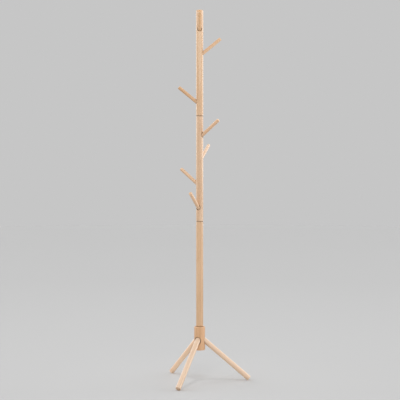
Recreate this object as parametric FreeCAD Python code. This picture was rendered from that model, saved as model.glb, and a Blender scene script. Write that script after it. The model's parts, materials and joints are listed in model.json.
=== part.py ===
import FreeCAD, Part
import math
import os

# Standing coat rack: a three-section turned pole on a hub with three splayed legs, and eight
# pegs. Every joint is a hand-tightened screw: a steel stud held in one piece runs in a threaded
# insert in the next. Threads are plain cylinders at their outside size.
#
# Frame: millimetres, +Z up, the pole's axis is the Z axis and the floor is Z = 0.
# The front is -Y, where the topmost peg points. Azimuths are counted anticlockwise from +X.

# Pole
SECTION_LENGTH = 500.0
POLE_RADIUS = 17.0
POLE_CHAMFER = 2.5
POLE_TOP_ROUND = 3.0

# Hub
HUB_BOTTOM_Z = 150.0
HUB_TOP_Z = 261.0
HUB_RADIUS = 26.0
HUB_TOP_ROUND = 2.5
HUB_BOTTOM_ROUND = 1.5

# Legs: straight square-cut dowels whose axes meet the pole axis at one height
LEG_AZIMUTHS = {"right": 5.5, "back": 125.5, "front": 245.5}
LEG_SLOPE = 41.0
LEG_CROSSING_Z = 215.0
LEG_RADIUS = 12.5
LEG_END_ROUND = 1.2
LEG_SEAT = 19.5
LEG_SOCKET_RADIUS = 15.5

# Pegs: four in the upper and four in the middle section, each a quarter turn on from the last
PEG_SLOPE = 39.5
PEG_RADIUS = 8.0
PEG_END_ROUND = 1.2
PEG_TIP = 128.0
PEG_SEAT = 8.0
PEG_SOCKET_RADIUS = 10.5
SOCKET_RIM_ROUND = 0.4
PEGS_PER_SECTION = 4
PEG_STEP_AZIMUTH = 90.0
PEG_FIRST_DROP = 102.0
PEG_SPACING = 114.5
UPPER_PEG_AZIMUTH = -90.0
MIDDLE_PEG_AZIMUTH = -26.0

# Fasteners. A stud's machine end turns in an insert with this much clearance all round.
THREAD_CLEARANCE = 0.05
FASTENERS = {
    "pole": {
        "thread_radius": 5.0, "thread_length": 24.0, "wood_radius": 5.0, "wood_length": 32.0,
        "insert_radius": 7.5, "insert_length": 26.0, "flange_radius": 10.0, "flange_height": 2.0,
    },
    "leg": {
        "thread_radius": 4.0, "thread_length": 10.0, "wood_radius": 3.8, "wood_length": 30.0,
        "insert_radius": 5.5, "insert_length": 11.0, "flange_radius": 8.0, "flange_height": 1.5,
    },
    "peg": {
        "thread_radius": 3.0, "thread_length": 11.0, "wood_radius": 2.8, "wood_length": 20.0,
        "insert_radius": 4.5, "insert_length": 12.5, "flange_radius": 6.5, "flange_height": 1.2,
    },
}
STUD_END_CHAMFER = 0.8
STUD_POINT_LENGTH = 5.0
STUD_TIP_RATIO = 0.2

# Past the outside of the pole or hub, measured along a socket's axis from the pole axis
SOCKET_REACH = 80.0
TOLERANCE = 1e-3
RIM_SAMPLES = 5

ORIGIN = FreeCAD.Vector(0, 0, 0)
Y_AXIS = FreeCAD.Vector(0, 1, 0)
Z_AXIS = FreeCAD.Vector(0, 0, 1)

LOWER_SECTION_Z = HUB_TOP_Z
MIDDLE_SECTION_Z = LOWER_SECTION_Z + SECTION_LENGTH
UPPER_SECTION_Z = MIDDLE_SECTION_Z + SECTION_LENGTH


def leg_end_distance():
    """Distance along a leg's axis, from the pole axis, that brings its rounded edge down to Z = 0."""
    slope = math.radians(LEG_SLOPE)
    edge_radius = LEG_RADIUS - LEG_END_ROUND
    drop = LEG_CROSSING_Z - LEG_END_ROUND - edge_radius * math.cos(slope)
    return drop / math.sin(slope) + LEG_END_ROUND


def raised(shape, height):
    """A copy of the shape, moved up the Z axis."""
    copy = shape.copy()
    copy.translate(FreeCAD.Vector(0, 0, height))
    return copy


def aimed(shape, height, azimuth, elevation):
    """A copy of a shape built up +Z, laid on the line that leaves the pole axis at this height."""
    copy = shape.copy()
    copy.rotate(ORIGIN, Y_AXIS, 90.0 - elevation)
    copy.rotate(ORIGIN, Z_AXIS, azimuth)
    return raised(copy, height)


def end_edge(rod, height):
    """The circular edge of a rod's end face at this height."""
    return [e for e in rod.Edges if len(e.Vertexes) == 1 and abs(e.CenterOfMass.z - height) < TOLERANCE]


def cylinder(radius, bottom, top):
    """A plain cylinder on the Z axis between two heights."""
    return raised(Part.makeCylinder(radius, top - bottom), bottom)


def rounded_rod(radius, bottom, top, bottom_round, top_round):
    """A turned rod with both end edges rounded over."""
    rod = cylinder(radius, bottom, top)
    rod = rod.makeFillet(bottom_round, end_edge(rod, bottom))
    return rod.makeFillet(top_round, end_edge(rod, top))


def wood_screw(size):
    """A stud's pointed screw end, standing on Z = 0. It is also the shape of the hole it fills."""
    shank_top = size["wood_length"] - STUD_POINT_LENGTH
    shank = cylinder(size["wood_radius"], 0, shank_top)
    point = Part.makeCone(size["wood_radius"], size["wood_radius"] * STUD_TIP_RATIO, STUD_POINT_LENGTH)
    return shank.fuse(raised(point, shank_top)).removeSplitter()


def stud(size):
    """A hanger stud on the Z axis: the machine end below Z = 0, the pointed wood screw above."""
    machine = cylinder(size["thread_radius"], -size["thread_length"], 0)
    machine = machine.makeChamfer(STUD_END_CHAMFER, end_edge(machine, -size["thread_length"]))
    return machine.fuse(wood_screw(size)).removeSplitter()


def insert_body(size):
    """The outside of a flanged threaded insert, with its flange flush at Z = 0."""
    barrel = cylinder(size["insert_radius"], -size["insert_length"], 0)
    flange = cylinder(size["flange_radius"], -size["flange_height"], 0)
    return barrel.fuse(flange).removeSplitter()


def insert(size):
    """A flanged threaded insert, open at both ends."""
    bore_radius = size["thread_radius"] + THREAD_CLEARANCE
    return insert_body(size).cut(cylinder(bore_radius, -size["insert_length"], 0))


def pole_section(pole_top, places):
    """One pole section standing on Z = 0, with a stud hole below and peg sockets at these places.

    pole_top is "insert" for a section that carries another one, or "round" for the topmost.
    """
    pole = cylinder(POLE_RADIUS, 0, SECTION_LENGTH)
    pole = pole.makeChamfer(POLE_CHAMFER, end_edge(pole, 0))
    top_edge = end_edge(pole, SECTION_LENGTH)
    if pole_top == "insert":
        pole = pole.makeChamfer(POLE_CHAMFER, top_edge)
        pole = pole.cut(raised(insert_body(FASTENERS["pole"]), SECTION_LENGTH))
    else:
        pole = pole.makeFillet(POLE_TOP_ROUND, top_edge)
    pole = pole.cut(wood_screw(FASTENERS["pole"]))
    sockets = [(height, azimuth, PEG_SLOPE) for height, azimuth in places]
    return bored(pole, POLE_RADIUS, sockets, PEG_SOCKET_RADIUS, PEG_SEAT, "peg")


def bored(body, outside_radius, sockets, radius, seat, fastener):
    """The body with counterbored sockets at these places: their rims eased, and insert pockets below."""
    for place in sockets:
        body = body.cut(aimed(cylinder(radius, seat, SOCKET_REACH), *place))
    rims = [e for e in body.Edges if is_rim(e, outside_radius)]
    if rims:
        body = body.makeFillet(SOCKET_RIM_ROUND, rims)
    for place in sockets:
        body = body.cut(aimed(raised(insert_body(FASTENERS[fastener]), seat), *place))
    return body


def is_rim(edge, outside_radius):
    """Whether an edge winds over the outside of a turned piece, as only a side socket's rim does."""
    box = edge.BoundBox
    winds = box.ZLength > SOCKET_RIM_ROUND and max(box.XLength, box.YLength) > SOCKET_RIM_ROUND
    points = edge.discretize(RIM_SAMPLES)
    on_outside = all(abs(math.hypot(p.x, p.y) - outside_radius) < TOLERANCE for p in points)
    return winds and on_outside


def peg_places(first_azimuth):
    """Height above the section's foot and azimuth of each peg's crossing, from the top down."""
    first_height = SECTION_LENGTH - PEG_FIRST_DROP
    return [
        (first_height - i * PEG_SPACING, first_azimuth + i * PEG_STEP_AZIMUTH)
        for i in range(PEGS_PER_SECTION)
    ]


def hub():
    """The turned hub: insert pocket in the top, three counterbored leg sockets round the side."""
    body = rounded_rod(HUB_RADIUS, HUB_BOTTOM_Z, HUB_TOP_Z, HUB_BOTTOM_ROUND, HUB_TOP_ROUND)
    body = body.cut(raised(insert_body(FASTENERS["pole"]), HUB_TOP_Z))
    sockets = [(LEG_CROSSING_Z, azimuth, -LEG_SLOPE) for azimuth in LEG_AZIMUTHS.values()]
    return bored(body, HUB_RADIUS, sockets, LEG_SOCKET_RADIUS, LEG_SEAT, "leg")


def leg():
    """A leg on the Z axis, from its seat in the hub out to its foot."""
    rod = rounded_rod(LEG_RADIUS, LEG_SEAT, leg_end_distance(), LEG_END_ROUND, LEG_END_ROUND)
    return rod.cut(raised(wood_screw(FASTENERS["leg"]), LEG_SEAT))


def peg():
    """A peg on the Z axis, from its seat in the pole out to its tip."""
    rod = rounded_rod(PEG_RADIUS, PEG_SEAT, PEG_TIP, PEG_END_ROUND, PEG_END_ROUND)
    return rod.cut(raised(wood_screw(FASTENERS["peg"]), PEG_SEAT))


def save(name, shape):
    """Write one node."""
    shape.exportStep("parts/" + name + ".step")
    print(name, "solids", len(shape.Solids), "valid", shape.isValid())


def build_base():
    """The hub with its inserts, and the three legs with their studs."""
    save("hub", hub())
    save("hub_insert", raised(insert(FASTENERS["pole"]), HUB_TOP_Z))
    leg_insert = raised(insert(FASTENERS["leg"]), LEG_SEAT)
    leg_stud = raised(stud(FASTENERS["leg"]), LEG_SEAT)
    leg_inserts = []
    for side, azimuth in LEG_AZIMUTHS.items():
        place = (LEG_CROSSING_Z, azimuth, -LEG_SLOPE)
        save("leg_" + side, aimed(leg(), *place))
        save("leg_" + side + "_stud", aimed(leg_stud, *place))
        leg_inserts.append(aimed(leg_insert, *place))
    save("leg_inserts", Part.makeCompound(leg_inserts))


def build_section(name, section_z, pole_top, places):
    """One pole section with its stud, its top insert, and its pegs with their studs and inserts."""
    save(name + "_pole", raised(pole_section(pole_top, places), section_z))
    save(name + "_pole_stud", raised(stud(FASTENERS["pole"]), section_z))
    if pole_top == "insert":
        save(name + "_pole_insert", raised(insert(FASTENERS["pole"]), section_z + SECTION_LENGTH))
    peg_insert = raised(insert(FASTENERS["peg"]), PEG_SEAT)
    peg_stud = raised(stud(FASTENERS["peg"]), PEG_SEAT)
    peg_inserts = []
    for number, (height, azimuth) in enumerate(places, start=1):
        place = (section_z + height, azimuth, PEG_SLOPE)
        save(name + "_peg_" + str(number), aimed(peg(), *place))
        save(name + "_peg_" + str(number) + "_stud", aimed(peg_stud, *place))
        peg_inserts.append(aimed(peg_insert, *place))
    if peg_inserts:
        save(name + "_peg_inserts", Part.makeCompound(peg_inserts))


os.makedirs("parts", exist_ok=True)
build_base()
build_section("lower", LOWER_SECTION_Z, "insert", [])
build_section("middle", MIDDLE_SECTION_Z, "insert", peg_places(MIDDLE_PEG_AZIMUTH))
build_section("upper", UPPER_SECTION_Z, "round", peg_places(UPPER_PEG_AZIMUTH))
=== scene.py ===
import json
import math
import random

import bmesh
import bpy
from mathutils import Matrix, Vector

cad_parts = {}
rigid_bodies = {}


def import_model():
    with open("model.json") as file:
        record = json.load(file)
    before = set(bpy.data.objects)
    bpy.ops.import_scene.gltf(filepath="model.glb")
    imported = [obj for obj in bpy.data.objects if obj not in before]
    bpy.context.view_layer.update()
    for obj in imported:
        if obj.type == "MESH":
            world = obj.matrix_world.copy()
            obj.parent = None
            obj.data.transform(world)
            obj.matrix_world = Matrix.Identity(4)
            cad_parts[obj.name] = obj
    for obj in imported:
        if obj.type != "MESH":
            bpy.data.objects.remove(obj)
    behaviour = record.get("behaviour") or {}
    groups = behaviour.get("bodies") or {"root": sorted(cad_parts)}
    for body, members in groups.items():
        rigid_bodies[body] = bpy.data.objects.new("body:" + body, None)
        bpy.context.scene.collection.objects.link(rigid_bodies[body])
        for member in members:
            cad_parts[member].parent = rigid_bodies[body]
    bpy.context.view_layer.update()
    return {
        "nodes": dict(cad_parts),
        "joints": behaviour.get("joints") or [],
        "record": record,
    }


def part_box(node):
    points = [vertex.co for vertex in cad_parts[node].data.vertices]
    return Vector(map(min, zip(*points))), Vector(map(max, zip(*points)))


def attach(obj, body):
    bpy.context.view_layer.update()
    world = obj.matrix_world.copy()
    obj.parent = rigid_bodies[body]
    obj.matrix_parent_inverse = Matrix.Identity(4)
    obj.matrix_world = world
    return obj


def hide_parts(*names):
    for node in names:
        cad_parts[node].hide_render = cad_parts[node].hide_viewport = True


# Looks for the coat rack, in metres. +Z is up, the pole's axis is the Z axis, the floor is Z = 0.
# Every wooden node of the CAD is turned again here as a fine mesh, in its own frame: the origin and
# the Z axis of a piece are the point and the axis that it screws on. Places and sizes are read from
# the frame. What is stated here is the small shape that the frame doesn't give by name.

# Small shape of the wooden pieces
SEGMENTS = 96
ROUND_STEPS = 6
ROD_END_ROUND = 0.0012
POLE_CHAMFER = 0.0025
POLE_TOP_ROUND = 0.003
HUB_BOTTOM_ROUND = 0.0015
HUB_TOP_ROUND = 0.0025
ARRIS_WIDTH = 0.0003
RIM_WIDTH = 0.0004
SHARP_ANGLE = math.radians(32)
# A screwed piece's foot stands this far off the face that it is tight against
SEAT_GAP = 0.00002
# How near, in metres, counts as on a stud's end face, and how far counts as clear of both its ends
ON_FACE = 0.00001
CLEAR_OF_ENDS = 0.001
# How near, as a share of the radius, counts as on a turned piece's outside
ON_OUTSIDE = 0.01

# Recesses: a peg's or leg's socket, and the pocket of a threaded insert (barrel and flange)
SOCKET_RADIUS = {"peg": 0.0105, "leg": 0.0155}
SOCKET_REACH = 0.08
POCKETS = {
    "pole": {"barrel": 0.0075, "depth": 0.026, "flange": 0.010, "flange_depth": 0.002},
    "leg": {"barrel": 0.0055, "depth": 0.011, "flange": 0.008, "flange_depth": 0.0015},
    "peg": {"barrel": 0.0045, "depth": 0.0125, "flange": 0.0065, "flange_depth": 0.0012},
}

# Camera: far off, a little above the rack's middle, pitched slightly down
CAMERA_PLACE = (0.0, -4.69, 0.978)
CAMERA_PITCH = math.radians(-1.40)
CAMERA_LENS = 88.92
CAMERA_SENSOR = 36.0
CAMERA_SHIFT_X = 0.0009

# Studio: a bright even room, and soft lights as (direction towards it, strength, spread)
ROOM_GREY = 0.565
LIGHTS = {
    "top": ((0.0, -0.25, 1.0), 0.40, math.radians(8)),
    "front": ((0.0, -1.0, 0.1), 0.85, math.radians(60)),
    "front_right": ((0.7, -0.7, 0.15), 0.45, math.radians(60)),
    "right": ((1.0, 0.1, 0.1), 1.10, math.radians(60)),
    "left": ((-1.0, -0.2, 0.8), 0.65, math.radians(60)),
    "back_right": ((0.8, 0.6, 0.3), 1.05, math.radians(60)),
    "back_left": ((-0.8, 0.6, 0.3), 1.05, math.radians(60)),
}

# The floor's grey, by distance from the rack: painted light, paler near the rack and darker further
# off as the studio light falls off. It fades into the room.
FLOOR_RADIUS = 15.0
FLOOR_GREYS = {0.0: 0.563, 0.84: 0.537, 2.0: 0.525, 4.6: 0.50, 10.0: 0.488}

# Linear colours of the woods: between the late wood of each year, and in it
WOODS = {
    "wood_upper_pole": ((0.85, 0.62, 0.425), (0.65, 0.39, 0.205)),
    "wood_middle_pole": ((0.80, 0.575, 0.40), (0.60, 0.37, 0.21)),
    "wood_lower_pole": ((0.71, 0.48, 0.30), (0.47, 0.265, 0.125)),
    "wood_hub": ((0.77, 0.485, 0.29), (0.50, 0.265, 0.12)),
    "wood_leg": ((0.81, 0.605, 0.44), (0.63, 0.415, 0.265)),
    "wood_peg": ((0.80, 0.55, 0.355), (0.60, 0.35, 0.185)),
}
# How much paler and how much warmer some lengths of wood are than the rest of their kind. The extra
# paleness of middle_peg_1, middle_peg_4 and leg_back is partly painted light, lifting their shaded
# undersides.
TONES = {
    "upper_peg_1": (1.09, 1.15), "upper_peg_2": (1.07, 1.02), "upper_peg_4": (0.96, 1.10),
    "middle_peg_1": (1.13, 0.94), "middle_peg_2": (1.08, 0.82),
    "middle_peg_3": (0.96, 1.00), "middle_peg_4": (1.08, 0.95),
    "lower_pole": (1.04, 1.02), "hub": (1.02, 1.03),
    "leg_back": (1.20, 1.06), "leg_front": (0.95, 1.00),
}
# Near-black brown painted as shade into the socket walls and the foot's groove
PAINTED_SHADE_BROWN = (0.10, 0.05, 0.025)

# Figure of the wood. Lengths are in millimetres and noise scales are per millimetre, along X, Y and Z
# in a piece's own frame.
MILLIMETRES = 1000
PITH_REACH = (25, 70)
GRAIN_SHIFT = 900
YEAR_WIDTH = 2.1
CYCLE_SCALE = 0.10
SWAY_X = 22.0
SWAY_Y = -15.0
SWAY_NOISE = (0.012, 0.012, 0.0025)
FIBRE_NOISE = (1.6, 1.6, 0.02)
PORE_NOISE = (3.2, 3.2, 0.16)
PATCH_NOISE = (0.02, 0.02, 0.006)
# Noise that makes the paled edges ragged, and how far it shifts them, in millimetres
EDGE_NOISE = (0.3, 0.3, 0.3)
EDGE_NOISE_REACH = -3.0

# What each part of the figure adds to the depth of the colour, to the roughness and to the relief
LEAST_DEPTH = -0.10
DEPTHS = {"band": 0.55, "late": 0.26, "fibre": 0.22, "patch": 0.16, "end_grain": 0.30}
LEAST_ROUGHNESS = 0.40
ROUGHNESSES = {"fibre": 0.10, "end_grain": 0.20, "edge": 0.10}
RELIEFS = {"fibre": 0.4, "pore": -1.0, "late": 0.4}
RELIEF_HEIGHT = 0.00008
PORE_STAIN = 0.35
# How far edges are paled, partly as wear and partly as painted highlight
EDGE_WEAR_AND_HIGHLIGHT = 0.50
# How far the sockets and the foot's groove are darkened with painted shade
HOLLOW_PAINTED_SHADE = 0.9
LACQUER = {"Specular IOR Level": 0.35, "Coat Weight": 0.55, "Coat Roughness": 0.28}

# Metals: bright colour, tarnished colour, roughness. Noise scales are per metre.
METALS = {
    "steel": ((0.62, 0.63, 0.65), (0.42, 0.43, 0.44), 0.30),
    "brass": ((0.74, 0.55, 0.25), (0.50, 0.35, 0.15), 0.32),
}
TARNISH_NOISE = (160.0, 160.0, 160.0)
SCRATCH_NOISE = (900.0, 900.0, 6000.0)
SCRATCH_DEPTH = 0.00002


# ---------------------------------------------------------------- stage

def make_camera():
    """The camera, looking along +Y."""
    data = bpy.data.cameras.new("camera")
    data.lens = CAMERA_LENS
    data.sensor_width = CAMERA_SENSOR
    data.shift_x = CAMERA_SHIFT_X
    camera = bpy.data.objects.new("camera", data)
    camera.location = CAMERA_PLACE
    camera.rotation_euler = (math.pi / 2 + CAMERA_PITCH, 0, 0)
    bpy.context.scene.collection.objects.link(camera)
    bpy.context.scene.camera = camera


def make_room():
    """Even grey light from all round."""
    world = bpy.data.worlds.new("room")
    world.use_nodes = True
    background = world.node_tree.nodes["Background"]
    background.inputs["Color"].default_value = (ROOM_GREY, ROOM_GREY, ROOM_GREY, 1.0)
    bpy.context.scene.world = world
    bpy.context.scene.view_settings.view_transform = "Standard"


def make_light(name, towards, strength, spread):
    """A soft light from far off in this direction."""
    data = bpy.data.lights.new(name, "SUN")
    data.energy = strength
    data.angle = spread
    light = bpy.data.objects.new(name, data)
    light.rotation_euler = Vector(towards).to_track_quat("Z", "Y").to_euler()
    bpy.context.scene.collection.objects.link(light)


def make_floor():
    """A pale round floor."""
    builder = bmesh.new()
    bmesh.ops.create_circle(builder, cap_ends=True, radius=FLOOR_RADIUS, segments=SEGMENTS)
    floor = finished("floor", builder, Matrix.Identity(4))
    floor.data.materials.append(floor_material())


# ---------------------------------------------------------------- shader helpers

def add(tree, kind, inputs=None, **settings):
    """Add a node, set its properties, and feed its inputs from values or other nodes."""
    node = tree.nodes.new(kind)
    for key, value in settings.items():
        setattr(node, key, value)
    for key, value in (inputs or {}).items():
        if isinstance(value, bpy.types.NodeSocket):
            tree.links.new(value, node.inputs[key])
        else:
            node.inputs[key].default_value = value
    return node


def calc(tree, operation, a, b=0.0, c=0.0):
    """The result of a Math node."""
    return add(tree, "ShaderNodeMath", {0: a, 1: b, 2: c}, operation=operation).outputs[0]


def vector_calc(tree, operation, a, b=(0.0, 0.0, 0.0)):
    """The result of a Vector Math node, a number where the operation gives one."""
    node = add(tree, "ShaderNodeVectorMath", {0: a, 1: b}, operation=operation)
    return node.outputs["Value" if operation in ("LENGTH", "DOT_PRODUCT") else "Vector"]


def step(tree, value, low, high):
    """A smooth step from 0 at low to 1 at high."""
    inputs = {"Value": value, "From Min": low, "From Max": high}
    node = add(tree, "ShaderNodeMapRange", inputs, interpolation_type="SMOOTHSTEP")
    return node.outputs["Result"]


def noise(tree, place, scale, detail):
    """Noise stretched along each axis, from about 0.3 to 0.7."""
    stretched = vector_calc(tree, "MULTIPLY", place, scale)
    node = add(tree, "ShaderNodeTexNoise", {"Vector": stretched, "Scale": 1.0, "Detail": detail})
    return node.outputs["Fac"]


def weighted(tree, least, weights, parts):
    """A least value, and on top of it each named part times its weight."""
    total = least
    for name, weight in weights.items():
        total = calc(tree, "MULTIPLY_ADD", parts[name], weight, total)
    return total


def blend(tree, factor, a, b, kind="MIX"):
    """Two colours mixed."""
    node = add(tree, "ShaderNodeMix", {0: factor, 6: a, 7: b}, data_type="RGBA", blend_type=kind)
    return node.outputs[2]


def piece_property(tree, name, output):
    """A property of the piece that the material is on."""
    node = add(tree, "ShaderNodeAttribute", attribute_type="OBJECT", attribute_name=name)
    return node.outputs[output]


def add_bump(tree, shader, relief, strength, height):
    """Fine relief on the shader, where 1 in it stands this high, in metres."""
    bump = add(tree, "ShaderNodeBump", {"Height": relief, "Strength": strength, "Distance": height})
    tree.links.new(bump.outputs["Normal"], shader.inputs["Normal"])


def new_material(name):
    """A new material, its node tree and its shader."""
    material = bpy.data.materials.new(name)
    material.use_nodes = True
    return material, material.node_tree, material.node_tree.nodes["Principled BSDF"]


# ---------------------------------------------------------------- materials

def wood_material(slot):
    """Solid lacquered wood in a piece's own frame, so that its figure runs on through its ends.

    The growth rings stand about a pith beside the piece. Each corner of a piece knows its "own_place".
    Each piece says in its properties where its "pith" is, how its grain is shifted, and its "radius"
    and "length", all in millimetres in its own frame. Its "axis" is that frame's Z in the scene, and
    its "paleness" and "warmth" scale its colours' brightness and saturation.
    """
    material, tree, shader = new_material(slot)
    pale = (*WOODS[slot][0], 1.0)
    deep = (*WOODS[slot][1], 1.0)
    place = add(tree, "ShaderNodeAttribute", attribute_name="own_place").outputs["Vector"]
    grain = vector_calc(tree, "ADD", place, piece_property(tree, "shift", "Vector"))

    late, band = growth_rings(tree, place, grain)
    edge, hollow_shade = end_edges(tree, place, grain)
    parts = {
        "late": late,
        "band": band,
        "edge": edge,
        "fibre": step(tree, noise(tree, grain, FIBRE_NOISE, 4.0), 0.3, 0.7),
        "pore": step(tree, noise(tree, grain, PORE_NOISE, 0.0), 0.67, 0.76),
        "patch": step(tree, noise(tree, grain, PATCH_NOISE, 2.0), 0.3, 0.7),
        "end_grain": step(tree, facing_along(tree), 0.72, 0.97),
    }
    hollow_shade = calc(tree, "MULTIPLY", hollow_shade, calc(tree, "SUBTRACT", 1.0, parts["end_grain"]))

    colour = blend(tree, weighted(tree, LEAST_DEPTH, DEPTHS, parts), pale, deep)
    toned = {
        "Color": colour,
        "Saturation": piece_property(tree, "warmth", "Fac"),
        "Value": piece_property(tree, "paleness", "Fac"),
    }
    colour = add(tree, "ShaderNodeHueSaturation", toned).outputs["Color"]
    stained = calc(tree, "MULTIPLY", parts["pore"], PORE_STAIN)
    colour = blend(tree, stained, colour, deep, "MULTIPLY")
    # Paler edges: partly wear, partly a painted highlight on the chamfers that catch the light from
    # above
    colour = blend(tree, calc(tree, "MULTIPLY", edge, EDGE_WEAR_AND_HIGHLIGHT), colour, pale)
    # Painted shade: the socket walls and the foot's groove are darkened to a near-black brown, where
    # shade falls into them
    colour = blend(tree, calc(tree, "MULTIPLY", hollow_shade, HOLLOW_PAINTED_SHADE), colour, (*PAINTED_SHADE_BROWN, 1.0))
    tree.links.new(colour, shader.inputs["Base Color"])

    rough = weighted(tree, LEAST_ROUGHNESS, ROUGHNESSES, parts)
    tree.links.new(rough, shader.inputs["Roughness"])
    add_bump(tree, shader, weighted(tree, 0.0, RELIEFS, parts), 0.6, RELIEF_HEIGHT)
    for name, value in LACQUER.items():
        shader.inputs[name].default_value = value
    return material


def growth_rings(tree, place, grain):
    """How far into the late wood a point is, and the broad bands of paler and deeper years."""
    sway = noise(tree, grain, SWAY_NOISE, 1.0)
    swayed = add(tree, "ShaderNodeCombineXYZ", {
        "X": calc(tree, "MULTIPLY_ADD", sway, SWAY_X, -SWAY_X / 2),
        "Y": calc(tree, "MULTIPLY_ADD", sway, SWAY_Y, -SWAY_Y / 2),
    }).outputs["Vector"]
    from_pith = vector_calc(tree, "SUBTRACT", vector_calc(tree, "ADD", place, swayed),
                            piece_property(tree, "pith", "Vector"))
    distance = from_axis(tree, from_pith)
    years = calc(tree, "DIVIDE", distance, YEAR_WIDTH)
    year = calc(tree, "FRACT", years)
    late = calc(tree, "MULTIPLY", step(tree, year, 0.30, 0.92), step(tree, year, 1.0, 0.92))
    which_year = {"W": calc(tree, "FLOOR", years)}
    weight = add(tree, "ShaderNodeTexWhiteNoise", which_year, noise_dimensions="1D").outputs["Value"]
    late = calc(tree, "MULTIPLY", late, calc(tree, "MULTIPLY_ADD", weight, 0.7, 0.3))
    cycle_place = {"W": calc(tree, "MULTIPLY", distance, CYCLE_SCALE), "Scale": 1.0, "Detail": 1.0}
    cycle = add(tree, "ShaderNodeTexNoise", cycle_place, noise_dimensions="1D").outputs["Fac"]
    return late, step(tree, cycle, 0.34, 0.66)


def from_axis(tree, place):
    """How far a place is from the Z axis."""
    return vector_calc(tree, "LENGTH", vector_calc(tree, "MULTIPLY", place, (1.0, 1.0, 0.0)))


def facing_along(tree):
    """How squarely a surface faces along its piece's own axis: 0 on its side, 1 on its ends."""
    world_normal = add(tree, "ShaderNodeNewGeometry").outputs["Normal"]
    turned_normal = add(tree, "ShaderNodeVectorTransform", {0: world_normal},
                        vector_type="NORMAL", convert_from="WORLD", convert_to="OBJECT").outputs[0]
    along = vector_calc(tree, "DOT_PRODUCT", turned_normal, piece_property(tree, "axis", "Vector"))
    return calc(tree, "ABSOLUTE", along)


def end_edges(tree, place, grain):
    """The edges at both ends of a piece, paled partly as wear and partly as painted highlight, and the
    painted shade that darkens its sockets and its foot's groove.
    """
    along = add(tree, "ShaderNodeSeparateXYZ", {0: place}).outputs["Z"]
    inward = calc(tree, "SUBTRACT", piece_property(tree, "radius", "Fac"), from_axis(tree, place))
    from_top = calc(tree, "SUBTRACT", piece_property(tree, "length", "Fac"), along)
    nearest = calc(tree, "MINIMUM", calc(tree, "ABSOLUTE", along), calc(tree, "ABSOLUTE", from_top))
    away = calc(tree, "MAXIMUM", inward, nearest)
    edge_noise = noise(tree, grain, EDGE_NOISE, 3.0)
    edge = step(tree, calc(tree, "MULTIPLY_ADD", edge_noise, EDGE_NOISE_REACH, away), 1.6, -0.6)
    # Painted shade: from 0.15 to 0.7 mm in from the outside and clear of the top, so on the socket
    # walls and the foot's chamfer
    hollow_shade = calc(tree, "MULTIPLY", step(tree, inward, 0.15, 0.7), step(tree, from_top, 1.2, 2.2))
    return edge, hollow_shade


def metal_material(slot, bright, dull, roughness):
    """Plated or plain metal with faint tarnish and fine scratches."""
    material, tree, shader = new_material(slot)
    place = add(tree, "ShaderNodeTexCoord").outputs["Object"]
    tarnish = step(tree, noise(tree, place, TARNISH_NOISE, 4.0), 0.35, 0.7)
    scratch = noise(tree, place, SCRATCH_NOISE, 2.0)
    tree.links.new(blend(tree, tarnish, (*bright, 1.0), (*dull, 1.0)), shader.inputs["Base Color"])
    tree.links.new(calc(tree, "MULTIPLY_ADD", tarnish, 0.2, roughness), shader.inputs["Roughness"])
    add_bump(tree, shader, scratch, 0.4, SCRATCH_DEPTH)
    shader.inputs["Metallic"].default_value = 1.0
    return material


def floor_material():
    """Matt pale grey with painted light: paler near the rack, fading with the distance from it."""
    material, tree, shader = new_material("floor")
    place = add(tree, "ShaderNodeTexCoord").outputs["Object"]
    distance = vector_calc(tree, "LENGTH", place)
    ramp = add(tree, "ShaderNodeValToRGB", {0: calc(tree, "DIVIDE", distance, FLOOR_RADIUS)})
    stops = ramp.color_ramp.elements
    stops.remove(stops[1])
    for reach, grey in FLOOR_GREYS.items():
        stop = stops.new(reach / FLOOR_RADIUS) if reach else stops[0]
        stop.color = (grey, grey, grey, 1.0)
    tree.links.new(ramp.outputs["Color"], shader.inputs["Base Color"])
    shader.inputs["Roughness"].default_value = 0.95
    shader.inputs["Specular IOR Level"].default_value = 0.0
    return material


# ---------------------------------------------------------------- mesh helpers

def finished(name, builder, place):
    """An object from a bmesh, smooth except across sharp edges."""
    mesh = bpy.data.meshes.new(name)
    for face in builder.faces:
        face.smooth = True
    builder.to_mesh(mesh)
    builder.free()
    mesh.set_sharp_from_angle(angle=SHARP_ANGLE)
    piece = bpy.data.objects.new(name, mesh)
    piece.matrix_world = place
    bpy.context.scene.collection.objects.link(piece)
    return piece


def turned(outline):
    """A solid of revolution about Z, from the (radius, height) points of its outline."""
    builder = bmesh.new()
    turns = [2 * math.pi * corner / SEGMENTS for corner in range(SEGMENTS)]
    rings = []
    for radius, height in outline:
        places = [(radius * math.cos(turn), radius * math.sin(turn), height) for turn in turns]
        rings.append([builder.verts.new(place) for place in places])
    for lower, upper in zip(rings, rings[1:]):
        for corner in range(SEGMENTS):
            after = (corner + 1) % SEGMENTS
            builder.faces.new((lower[corner], lower[after], upper[after], upper[corner]))
    builder.faces.new(rings[0])
    builder.faces.new(rings[-1])
    bmesh.ops.recalc_face_normals(builder, faces=builder.faces)
    return builder


def rounding(radius, height, size, first, last):
    """Outline points round an edge, between two angles in degrees up from the outward direction."""
    points = []
    for number in range(ROUND_STEPS + 1):
        angle = math.radians(first + (last - first) * number / ROUND_STEPS)
        points.append((radius - size + size * math.cos(angle), height + size * math.sin(angle)))
    return points


def soften(builder, edges, width):
    """Round these edges over."""
    bmesh.ops.bevel(builder, geom=edges, offset=width, segments=2, profile=0.5, affect="EDGES",
                    clamp_overlap=False)


def pocket_outline(pocket, top):
    """Outline points of an insert's pocket, from its flange's rim at this height down to its floor."""
    return [
        (pocket["flange"], top),
        (pocket["flange"], top - pocket["flange_depth"]),
        (pocket["barrel"], top - pocket["flange_depth"]),
        (pocket["barrel"], top - pocket["depth"]),
    ]


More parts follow.
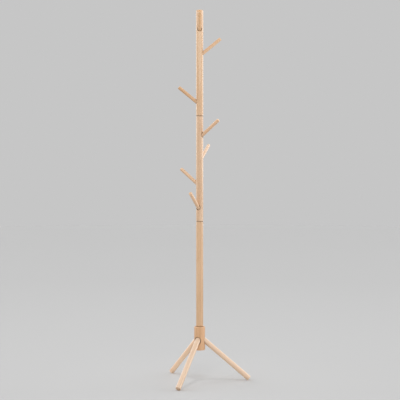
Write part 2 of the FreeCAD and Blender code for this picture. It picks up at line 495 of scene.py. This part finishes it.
def socket_cutter(kind):
    """What a counterbored socket removes. Its seat is at its own origin."""
    floor_up = pocket_outline(POCKETS[kind], 0.0)[::-1]
    radius = SOCKET_RADIUS[kind]
    return turned([*floor_up, (radius, 0.0), (radius, SOCKET_REACH)])


def rim_edges(builder, radius):
    """The edges where side sockets break out through a turned piece's outside."""
    rims = []
    for edge in builder.edges:
        off_outside = max(abs(corner.co.xy.length - radius) for corner in edge.verts)
        on_outside = off_outside < ON_OUTSIDE * radius
        if on_outside and len(edge.link_faces) == 2 and edge.calc_face_angle() > SHARP_ANGLE:
            rims.append(edge)
    return rims


def cut_sockets(piece, radius, cutters):
    """Cut sockets with these meshes, given in the piece's own frame, and ease their rims."""
    gathered = bmesh.new()
    for cutter in cutters:
        mesh = bpy.data.meshes.new("socket")
        cutter.to_mesh(mesh)
        cutter.free()
        gathered.from_mesh(mesh)
    tool = finished("tool", gathered, piece.matrix_world)
    modifier = piece.modifiers.new("sockets", "BOOLEAN")
    modifier.operation = "DIFFERENCE"
    modifier.solver = "EXACT"
    modifier.object = tool
    bpy.context.view_layer.update()
    result = bmesh.new()
    result.from_object(piece, bpy.context.evaluated_depsgraph_get())
    piece.modifiers.clear()
    bpy.data.objects.remove(tool)
    bmesh.ops.remove_doubles(result, verts=result.verts, dist=RIM_WIDTH / 5)
    soften(result, rim_edges(result, radius), RIM_WIDTH)
    for face in result.faces:
        face.smooth = True
    result.to_mesh(piece.data)
    result.free()
    piece.data.set_sharp_from_angle(angle=SHARP_ANGLE)


# ---------------------------------------------------------------- the wooden pieces

def own_frame(joint):
    """The frame of a screwed piece: its origin on its joint, its Z axis along the joint's axis."""
    turn = Vector(joint["axis"]).to_track_quat("Z", "Y")
    return Matrix.Translation(joint["pos_m"]) @ turn.to_matrix().to_4x4()


def own_corners(name, place):
    """The corners of a node's mesh, in this frame."""
    inverse = place.inverted()
    return [inverse @ corner.co for corner in frame["nodes"][name].data.vertices]


def measured(name, place):
    """Radius, lowest and highest point of a turned node in this frame."""
    corners = own_corners(name, place)
    heights = [corner.z for corner in corners]
    return max(corner.xy.length for corner in corners), min(heights), max(heights)


def stud_hole(name, place):
    """Outline points of the hole that a stud's screw end fills, from its tip down to the seat."""
    rings = {(corner.xy.length, corner.z) for corner in own_corners(name, place)}
    top = max(height for _, height in rings)
    shank = [ring for ring in rings if CLEAR_OF_ENDS < ring[1] < top - CLEAR_OF_ENDS]
    neck_radius, neck = max(shank, key=lambda ring: ring[1])
    tip_radius = max(radius for radius, height in rings if height > top - ON_FACE)
    return [(tip_radius, top), (neck_radius, neck), (neck_radius, SEAT_GAP)]


def make_rod(name, place):
    """A straight dowel with rounded ends: a peg or a leg."""
    radius, bottom, top = measured(name, place)
    outline = [
        *stud_hole(name + "_stud", place),
        *rounding(radius, bottom + SEAT_GAP + ROD_END_ROUND, ROD_END_ROUND, -90, 0),
        *rounding(radius, top - ROD_END_ROUND, ROD_END_ROUND, 0, 90),
    ]
    return finished(name + "_wood", turned(outline), place)


def make_pole(name, place):
    """A pole section, with an insert's pocket in its top where another section screws on."""
    radius, bottom, top = measured(name, place)
    outline = [
        *stud_hole(name + "_stud", place),
        (radius - POLE_CHAMFER, bottom + SEAT_GAP),
        (radius, bottom + SEAT_GAP + POLE_CHAMFER),
    ]
    if name + "_insert" in frame["nodes"]:
        outline += [(radius, top - POLE_CHAMFER), (radius - POLE_CHAMFER, top)]
        outline += pocket_outline(POCKETS["pole"], top)
    else:
        outline += rounding(radius, top - POLE_TOP_ROUND, POLE_TOP_ROUND, 0, 90)
    builder = turned(outline)
    soften(builder, [e for e in builder.edges if e.calc_face_angle() > SHARP_ANGLE], ARRIS_WIDTH)
    piece = finished(name + "_wood", builder, place)
    cut_side_sockets(piece, name, radius, "peg")
    return piece


def make_hub(name, place):
    """The hub, with the lowest section's pocket in its top and the legs' sockets round its side."""
    radius, bottom, top = measured(name, place)
    outline = [
        *rounding(radius, bottom + HUB_BOTTOM_ROUND, HUB_BOTTOM_ROUND, -90, 0),
        *rounding(radius, top - HUB_TOP_ROUND, HUB_TOP_ROUND, 0, 90),
        *pocket_outline(POCKETS["pole"], top),
    ]
    piece = finished(name + "_wood", turned(outline), place)
    cut_side_sockets(piece, name, radius, "leg")
    return piece


def cut_side_sockets(piece, name, radius, kind):
    """Cut the socket of every peg or leg that screws into the side of this piece."""
    cutters = []
    for joint in frame["joints"]:
        if joint["parent"] == name and kind in joint["child"]:
            cutter = socket_cutter(kind)
            cutter.transform(piece.matrix_world.inverted() @ own_frame(joint))
            cutters.append(cutter)
    if cutters:
        cut_sockets(piece, radius, cutters)


def set_grain(piece, name, place):
    """Where this piece lay in its tree, drawn from its own name."""
    draw = random.Random(name)
    turn = draw.uniform(0, 2 * math.pi)
    reach = draw.uniform(*PITH_REACH)
    radius, _, top = measured(name, place)
    piece["pith"] = (reach * math.cos(turn), reach * math.sin(turn), 0.0)
    piece["shift"] = tuple(draw.uniform(-GRAIN_SHIFT, GRAIN_SHIFT) for _ in range(3))
    piece["radius"] = radius * MILLIMETRES
    piece["length"] = top * MILLIMETRES
    piece["axis"] = tuple(place.to_3x3().col[2])
    piece["paleness"], piece["warmth"] = TONES.get(name, (1.0, 1.0))


def settle(piece):
    """Move a piece's place into its mesh, whose corners keep their own coordinates in millimetres."""
    mesh = piece.data
    own_places = mesh.attributes.new("own_place", "FLOAT_VECTOR", "POINT")
    for corner, own_place in zip(mesh.vertices, own_places.data):
        own_place.vector = corner.co * MILLIMETRES
    mesh.transform(piece.matrix_world)
    piece.matrix_world = Matrix.Identity(4)


def make_wood(name, material):
    """One wooden piece in place of its CAD node."""
    joint = next((j for j in frame["joints"] if j["child"] == name), None)
    place = own_frame(joint) if joint else Matrix.Translation((0, 0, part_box(name)[0].z))
    if name == "hub":
        piece = make_hub(name, place)
    elif name.endswith("_pole"):
        piece = make_pole(name, place)
    else:
        piece = make_rod(name, place)
    set_grain(piece, name, place)
    settle(piece)
    piece.data.materials.append(material)
    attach(piece, name)
    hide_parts(name)


# ---------------------------------------------------------------- run

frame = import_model()

make_camera()
make_room()
for light_name, light in LIGHTS.items():
    make_light(light_name, *light)
make_floor()

finishes = {slot: wood_material(slot) for slot in WOODS}
for slot, (bright, dull, roughness) in METALS.items():
    finishes[slot] = metal_material(slot, bright, dull, roughness)

for subpart in frame["record"]["subparts"]:
    finish = finishes[subpart["material_slot"]]
    if subpart["material_slot"] in WOODS:
        make_wood(subpart["node"], finish)
    else:
        for material_slot in frame["nodes"][subpart["node"]].material_slots:
            material_slot.material = finish
